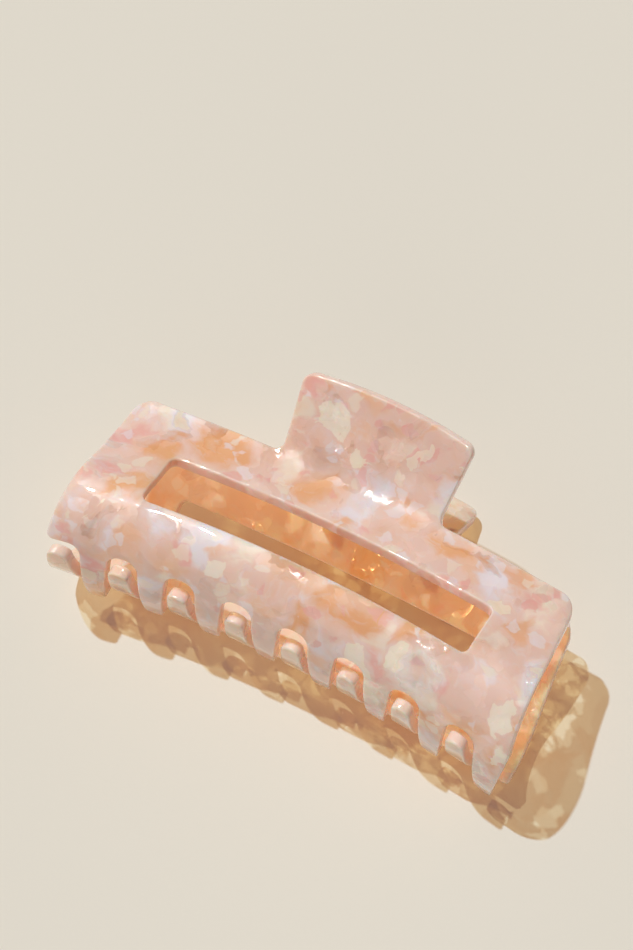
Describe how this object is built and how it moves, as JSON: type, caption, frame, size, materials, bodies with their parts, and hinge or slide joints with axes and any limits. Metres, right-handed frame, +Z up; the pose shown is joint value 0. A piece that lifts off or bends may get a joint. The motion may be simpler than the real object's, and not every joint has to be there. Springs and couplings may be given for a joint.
{
  "type": "hair claw clip",
  "caption": "Large rectangular sprung hair claw with a long open slot in each jaw, thumb grips and interleaved round-ended teeth.",
  "frame": {"origin": "middle of the box that the closed clip fills, at the surface it lies on", "axes": "+X along the hinge, to the right seen from the thumb grips' side with the front jaw up; +Y from the teeth toward the thumb grips; +Z up, out through the front jaw"},
  "size_m": [0.1108, 0.063, 0.0433],
  "materials": {
    "front_acetate": "polished, translucent, with pink, peach and pearl flakes",
    "rear_acetate": "polished, translucent, with pink, peach and pearl flakes",
    "pin_steel": "bright drawn wire",
    "spring_steel": "bright drawn wire"
  },
  "bodies": {
    "rear_half": {"rear_jaw": "rear_acetate", "rear_lug_left": "rear_acetate", "rear_lug_right": "rear_acetate", "hinge_pin": "pin_steel", "torsion_spring": "spring_steel"},
    "front_half": {"front_jaw": "front_acetate", "front_lug_right": "front_acetate", "front_lug_left": "front_acetate"}
  },
  "joints": [
    {"name": "jaw_hinge", "type": "hinge", "parent": "rear_half", "child": "front_half", "pos_m": [0, 0.01246, 0.02067], "axis": [-1, 0, 0], "range_deg": [0, 85], "stiffness_Nm_per_rad": 0.12, "springref_deg": -45.84, "deforming": ["torsion_spring"]}
  ]
}
